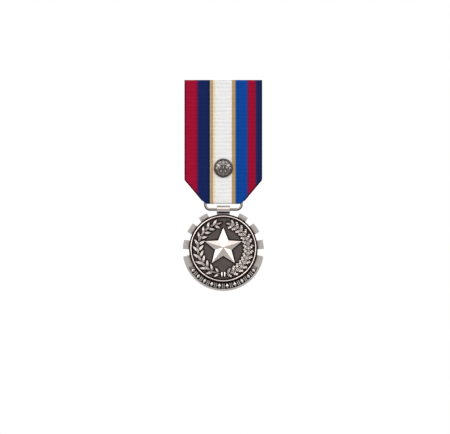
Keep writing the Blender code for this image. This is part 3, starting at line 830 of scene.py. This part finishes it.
def leaf_mesh(verts, faces, base, heading, length, width, lobes, top, lift, curl=0.0):
    """One leaf standing off the field: upright edge, crowned blade, sunken midrib, side veins."""
    run, side = run_and_side(heading)
    first = len(verts)
    along = 22 if lobes else 12
    across = len(EDGE_SHARES)
    for i in range(along + 1):
        s = i / along
        if lobes:
            rounded = math.sin(math.pi * min(s * 0.84 + 0.1, 1.0)) ** 0.5
            form = rounded * (0.77 + 0.31 * math.cos(2.0 * math.pi * (s * 3.0 - 0.4)))
        else:
            form = math.sin(math.pi * s**0.8) ** 0.85
        half = max(width * 0.5 * form, 0.04 * MM)
        centre = Vector(base) + run * (length * s) + side * (curl * length * math.sin(s * 1.57))
        end = i in (0, along)
        for t in EDGE_SHARES:
            p = centre + side * (half * t * (0.5 if end else 1.0))
            crown = (1.0 - abs(t) ** 2.0) * math.sin(math.pi * (0.15 + 0.75 * s)) ** 0.6
            midrib = 0.5 * math.exp(-((t * 4.5) ** 2)) * (1.0 - 0.6 * s)
            if lobes:
                vein = 0.34 * math.sin(2.0 * math.pi * 3.0 * s - abs(t) * 2.5)
            else:
                vein = 0.16 * math.sin(s * 24.0 - abs(t) * 5.0)
            vein = vein * (1.0 - abs(t)) * min(abs(t) * 4.0, 1.0)
            height = lift + top * max(0.36 + 0.64 * crown - midrib + vein, 0.05)
            if abs(t) == 1.0 or end:
                height = 0.0
            verts.append((p.x, FIELD_Y - height, p.y))
    for i in range(along):
        for k in range(across - 1):
            p = first + i * across + k
            faces.append((p, p + 1, p + across + 1, p + across))


def stem_mesh(verts, faces, side, start, end, thickness):
    """Stem along the wreath's circle, sunk a little into the field."""
    points = []
    steps = 40
    for i in range(steps + 1):
        x, z = polar(WREATH_R, start + (end - start) * i / steps)
        points.append((side * x, FIELD_Y - thickness * 0.6, z))
    tube(verts, faces, points, thickness)


def leaf_branch(name, side, lobes, leaves, replaced):
    """Stem with rows of leaves: one row outwards, one inwards and one along the stem."""
    verts = []
    faces = []
    count, length, width, rows = leaves
    stem_end = WREATH_END - 6.0
    stem_mesh(verts, faces, side, WREATH_START - 3.0, stem_end, 0.24 * MM)
    spacing = (WREATH_END - WREATH_START - 12.0) / (count - 1)
    for k in range(count):
        share = k / (count - 1)
        shrink = 1.0 - 0.16 * share - 0.2 * math.exp(-share * 12.0)
        for row, (flare, shift, size, top) in enumerate(rows):
            at = WREATH_START + 2.0 + spacing * k + shift + 0.8 * (random.random() - 0.5)
            heading = at + 90.0 + flare + 5.0 * (random.random() - 0.5)
            # Which way the leaf leaves the stem: 1 outwards, -1 inwards, 0 along it.
            way = 1.0 if flare > 10.0 else -1.0 if flare < -10.0 else 0.0
            x, z = polar(WREATH_R + 0.15 * MM * (-1.0 if way > 0.0 else 1.0), at)
            leaf_mesh(
                verts,
                faces,
                (side * x, z),
                side * heading,
                length * shrink * size,
                width * shrink * (1.0 if row < 2 else 0.85),
                lobes,
                top * MM,
                (0.02 + 0.05 * random.random()) * MM,
                side * 0.06 * way,
            )
    x, z = polar(WREATH_R, stem_end)
    leaf_mesh(
        verts, faces, (side * x, z), side * (WREATH_END + 86.0), length * 0.75, width * 0.7,
        lobes, 0.6 * MM, 0.05 * MM,
    )
    obj = new_piece(name, verts, faces, leaf_silver, 50.0)
    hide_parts(replaced)
    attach(obj, "pendant")


leaf_branch("laurel_leaves", 1.0, False, LAUREL, "laurel_branch")
leaf_branch("oak_leaves", -1.0, True, OAK, "oak_branch")

# Profile of a tie bar from its top end to its low end, as (share of length, height in millimetres).
BAR_FORM = (
    (0.0, 0.0), (0.03, 0.22), (0.3, 0.4), (0.6, 0.6), (0.82, 0.66), (0.97, 0.45), (1.0, 0.0),
)


def tie_bars():
    """Two crowned bars over the crossed stems, with an open gap between them."""
    low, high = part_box("wreath_tie")
    tall = high[2] - low[2]
    half = 0.36 * MM
    across = (-1.0, -0.86, -0.5, 0.0, 0.5, 0.86, 1.0)
    columns = len(across)
    verts = []
    faces = []
    for side in (-1.0, 1.0):
        centre = side * 0.68 * MM
        first = len(verts)
        for share, height in BAR_FORM:
            z = high[2] - tall * share
            for t in across:
                crown = 0.0 if abs(t) == 1.0 else math.sqrt(1.0 - 0.7 * t * t)
                verts.append((centre + half * t, FIELD_Y - height * MM * crown, z))
        for i in range(len(BAR_FORM) - 1):
            for k in range(columns - 1):
                p = first + i * columns + k
                faces.append((p, p + 1, p + columns + 1, p + columns))
    obj = new_piece("join_bars", verts, faces, tie_silver, 50.0)
    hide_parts("wreath_tie")
    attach(obj, "pendant")


tie_bars()

# ---------------------------------------------------------------- frieze on the band


FRIEZE_R = 16.42 * MM
FRIEZE_START, FRIEZE_END = 126.0, 234.0
FRIEZE_COUNT = 19
STUD_SHOULDER_Y = PLATE_FRONT_Y + 0.1 * MM
STUD_TOP_Y = PLATE_FRONT_Y - 0.08 * MM


def stud(verts, faces, place, form, ridge):
    """Raised form on the band: walls up to a shoulder, then a roof with one peak or a ridge.

    form is its outline as (u, w), across and along the band's radius. place turns (u, w, depth)
    into a point. ridge holds w for each end of the roof's top.
    """
    first = len(verts)
    n = len(form)
    middle_u = sum(u for u, w in form) / n
    for depth, grow in ((BAND_FLOOR_Y, 1.12), (STUD_SHOULDER_Y, 0.95)):
        for u, w in form:
            verts.append(place(middle_u + (u - middle_u) * grow, w * (0.5 + 0.5 * grow), depth))
    for w in ridge:
        verts.append(place(middle_u, w, STUD_TOP_Y))
    for i in range(n):
        j = (i + 1) % n
        faces.append((first + i, first + j, first + n + j, first + n + i))
    faces.append(tuple(first + i for i in range(n)))
    shoulder = [first + n + i for i in range(n)]
    peaks = [first + 2 * n + i for i in range(len(ridge))]
    if len(peaks) == 1:
        for i in range(n):
            faces.append((shoulder[i], shoulder[(i + 1) % n], peaks[0]))
    else:
        faces.append((shoulder[0], shoulder[1], peaks[1], peaks[0]))
        faces.append((shoulder[1], shoulder[2], peaks[1]))
        faces.append((shoulder[2], shoulder[3], peaks[0], peaks[1]))
        faces.append((shoulder[3], shoulder[0], peaks[0]))


def frieze():
    """Lozenges between paired bars, standing on the sunken band's floor."""
    verts = []
    faces = []
    drop = DISC_Z - GEAR_Z
    for k in range(FRIEZE_COUNT):
        angle = FRIEZE_START + (FRIEZE_END - FRIEZE_START) * k / (FRIEZE_COUNT - 1)
        # The band ends at the rim, whose centre lies below the disc's.
        c = math.cos(math.radians(angle))
        outer = -drop * c + math.sqrt(drop * drop * (c * c - 1.0) + (GEAR_R - RIM_WIDTH) ** 2)
        tall = (outer - FRIEZE_R) * 0.5 - 0.16 * MM
        out = Vector(polar(1.0, angle, 0.0))
        turn = Vector((out.y, -out.x))
        centre = Vector(polar((FRIEZE_R + outer) / 2.0, angle))

        def place(u, w, depth):
            p = centre + turn * u + out * w
            return (p.x, depth, p.y)

        if k % 2 == 0:
            half = 0.78 * MM
            form = [(0.0, tall), (half, 0.0), (0.0, -tall), (-half, 0.0)]
            stud(verts, faces, place, form, (0.0,))
            continue
        half = 0.24 * MM
        hip = tall - 0.2 * MM
        for u in (-0.42 * MM, 0.42 * MM):
            form = [(u + half, tall), (u + half, -tall), (u - half, -tall), (u - half, tall)]
            stud(verts, faces, place, form, (hip, -hip))
    obj = new_piece("frieze", verts, faces, frieze_silver)
    edge = obj.modifiers.new("Edge", "BEVEL")
    edge.width = 0.03 * MM
    edge.segments = 2
    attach(obj, "pendant")


frieze()

# ---------------------------------------------------------------- relief of the device

# The dome's profile as (radius, height) in millimetres.
DOME = (
    (0.0, 1.55), (1.6, 1.45), (2.9, 1.1), (3.55, 0.78), (3.75, 0.62), (4.0, 0.72), (4.35, 0.62),
    (4.5, 0.4),
)
DEVICE_BACK_Y = FRONT_Y - 0.22 * MM


def dome_height(radius):
    """Height of the badge over its back at a radius."""
    r = radius / MM
    for (r0, h0), (r1, h1) in zip(DOME, DOME[1:]):
        if r <= r1:
            return (h0 + (h1 - h0) * (r - r0) / (r1 - r0)) * MM
    return 0.4 * MM


def lump(verts, faces, centre, along_r, across_r, heading, height, rings=6, steps=18):
    """Rounded mound on the dome, its two radii set along its heading and across it."""
    run, side = run_and_side(heading)
    first = len(verts)
    for i in range(rings + 1):
        s = i / rings
        for k in range(steps):
            t = 2.0 * math.pi * k / steps
            across = side * (across_r * s * math.sin(t))
            p = Vector(centre) + run * (along_r * s * math.cos(t)) + across
            r = math.hypot(p.x, p.y - DEVICE_Z)
            rise = height * (1.0 - s**1.6) - (0.08 * MM if i == rings else 0.0)
            verts.append((p.x, DEVICE_BACK_Y - dome_height(r) - rise, p.y))
    for i in range(rings):
        for k in range(steps):
            m = (k + 1) % steps
            p = first + i * steps
            if i == 0:
                faces.append((p + steps + k, p + steps + m, p))
            else:
                faces.append((p + k, p + m, p + steps + m, p + steps + k))


def rosette():
    """One long mound in the middle, six round it and twelve small ones by the rim."""
    verts = []
    faces = []
    lump(verts, faces, (0.0, DEVICE_Z), 1.15 * MM, 0.5 * MM, 0.0, 0.42 * MM)
    for angle in (33.0, 90.0, 147.0, 213.0, 270.0, 327.0):
        centre = polar(1.95 * MM, angle, DEVICE_Z)
        lump(verts, faces, centre, 0.86 * MM, 0.68 * MM, angle, 0.46 * MM)
    for k in range(12):
        angle = 15.0 + 30.0 * k
        centre = polar(3.15 * MM, angle, DEVICE_Z)
        lump(verts, faces, centre, 0.42 * MM, 0.52 * MM, angle, 0.26 * MM, 5, 14)
    obj = new_piece("device_relief", verts, faces, burnished_device, 80.0)
    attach(obj, "ribbon_assembly")


rosette()

# ---------------------------------------------------------------- sewing thread


def thread_material():
    """Grey twisted thread."""
    n = Nodes("sewing_thread")
    twist = n.noise(n.coords(), 3800.0, 2.0)
    colour = n.mix(twist, (0.10, 0.10, 0.13), (0.30, 0.30, 0.34))
    n.link(colour, n.shader.inputs["Base Color"])
    n.shader.inputs["Roughness"].default_value = 0.8
    n.bump(twist, 0.5, 0.03 * MM)
    return n.mat


sewing_thread = thread_material()


def stitch(verts, faces, a, b, lift):
    """One stitch from a to b, arched backwards by lift, its ends sunk in the cloth."""
    points = []
    for i in range(7):
        s = i / 6
        bow = math.sin(math.pi * s)
        rise = bow**0.5 if bow > 0 else 0.0
        points.append(Vector(a).lerp(Vector(b), s) + Vector((0.0, lift, 0.0)) * rise)
    tube(verts, faces, points, 0.11 * MM, 6)


def stitch_row(verts, faces, start, end, length, spacing, back_y, z):
    """Row of stitches along X through a layer of cloth whose back is at back_y."""
    y = back_y - 0.06 * MM
    x = start
    while x < end:
        stitch(verts, faces, (x, y, z), (x + length, y, z), 0.12 * MM)
        x += spacing


def sewn_piece(name, verts, faces):
    """Stitches that ride with the ribbon."""
    obj = new_piece(name, verts, faces, sewing_thread, 60.0)
    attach(obj, "ribbon_assembly")


def hem_stitches():
    """Row along the end of the hem."""
    verts, faces = [], []
    hem_back = HEM_Y + CLOTH / 2.0
    z = RIBBON_TOP - HEM + 0.6 * MM
    stitch_row(verts, faces, -17.2 * MM, 16.6 * MM, 1.25 * MM, 1.75 * MM, hem_back, z)
    sewn_piece("hem_stitches", verts, faces)


def plate_lashings():
    """Thread through the holes at the brooch plate's ends: upright, and out over its edge."""
    verts, faces = [], []
    plate_front, plate_back = (corner[1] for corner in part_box("brooch_plate"))
    start_y = plate_back - 0.35 * MM
    hole_z = 1.6 * MM
    for side in (-1.0, 1.0):
        hole_x = side * 14.2 * MM
        edge_x = side * 15.75 * MM
        for j in range(3):
            x = hole_x + (j - 1) * 0.17 * MM
            stitch(verts, faces, (x, start_y, hole_z), (x, start_y, -hole_z), 0.46 * MM)
        for hole in (hole_z, -hole_z):
            for j in range(2):
                z = hole + (j - 0.5) * 0.22 * MM
                end = (edge_x, plate_front - 0.02 * MM, z)
                stitch(verts, faces, (hole_x, start_y, z), end, 0.50 * MM)
    sewn_piece("plate_lashings", verts, faces)


def tail_stitches():
    """Two rows that hold the tail of the loop to the ribbon."""
    verts, faces = [], []
    tail_back = TAIL_Y + CLOTH / 2.0
    for z in (-46.0 * MM, -49.0 * MM):
        stitch_row(verts, faces, -7.6 * MM, 6.9 * MM, 1.2 * MM, 1.7 * MM, tail_back, z)
    sewn_piece("tail_stitches", verts, faces)


hem_stitches()
plate_lashings()
tail_stitches()

# ---------------------------------------------------------------- floor


def floor():
    """Pale round floor below the hanging object."""
    floor_z = -0.2
    radius = 0.36
    verts = [(0.0, 0.0, floor_z)]
    steps = 96
    for k in range(steps):
        a = 2.0 * math.pi * k / steps
        verts.append((radius * math.cos(a), radius * math.sin(a), floor_z))
    faces = [(0, 1 + k, 1 + (k + 1) % steps) for k in range(steps)]
    n = Nodes("pale_floor")
    grain = n.noise(n.coords(), 60.0, 3.0)
    n.link(n.mix(grain, (0.50, 0.50, 0.50), (0.54, 0.54, 0.54)), n.shader.inputs["Base Color"])
    n.shader.inputs["Roughness"].default_value = 0.7
    obj = new_piece("floor", verts, faces, n.mat)


floor()
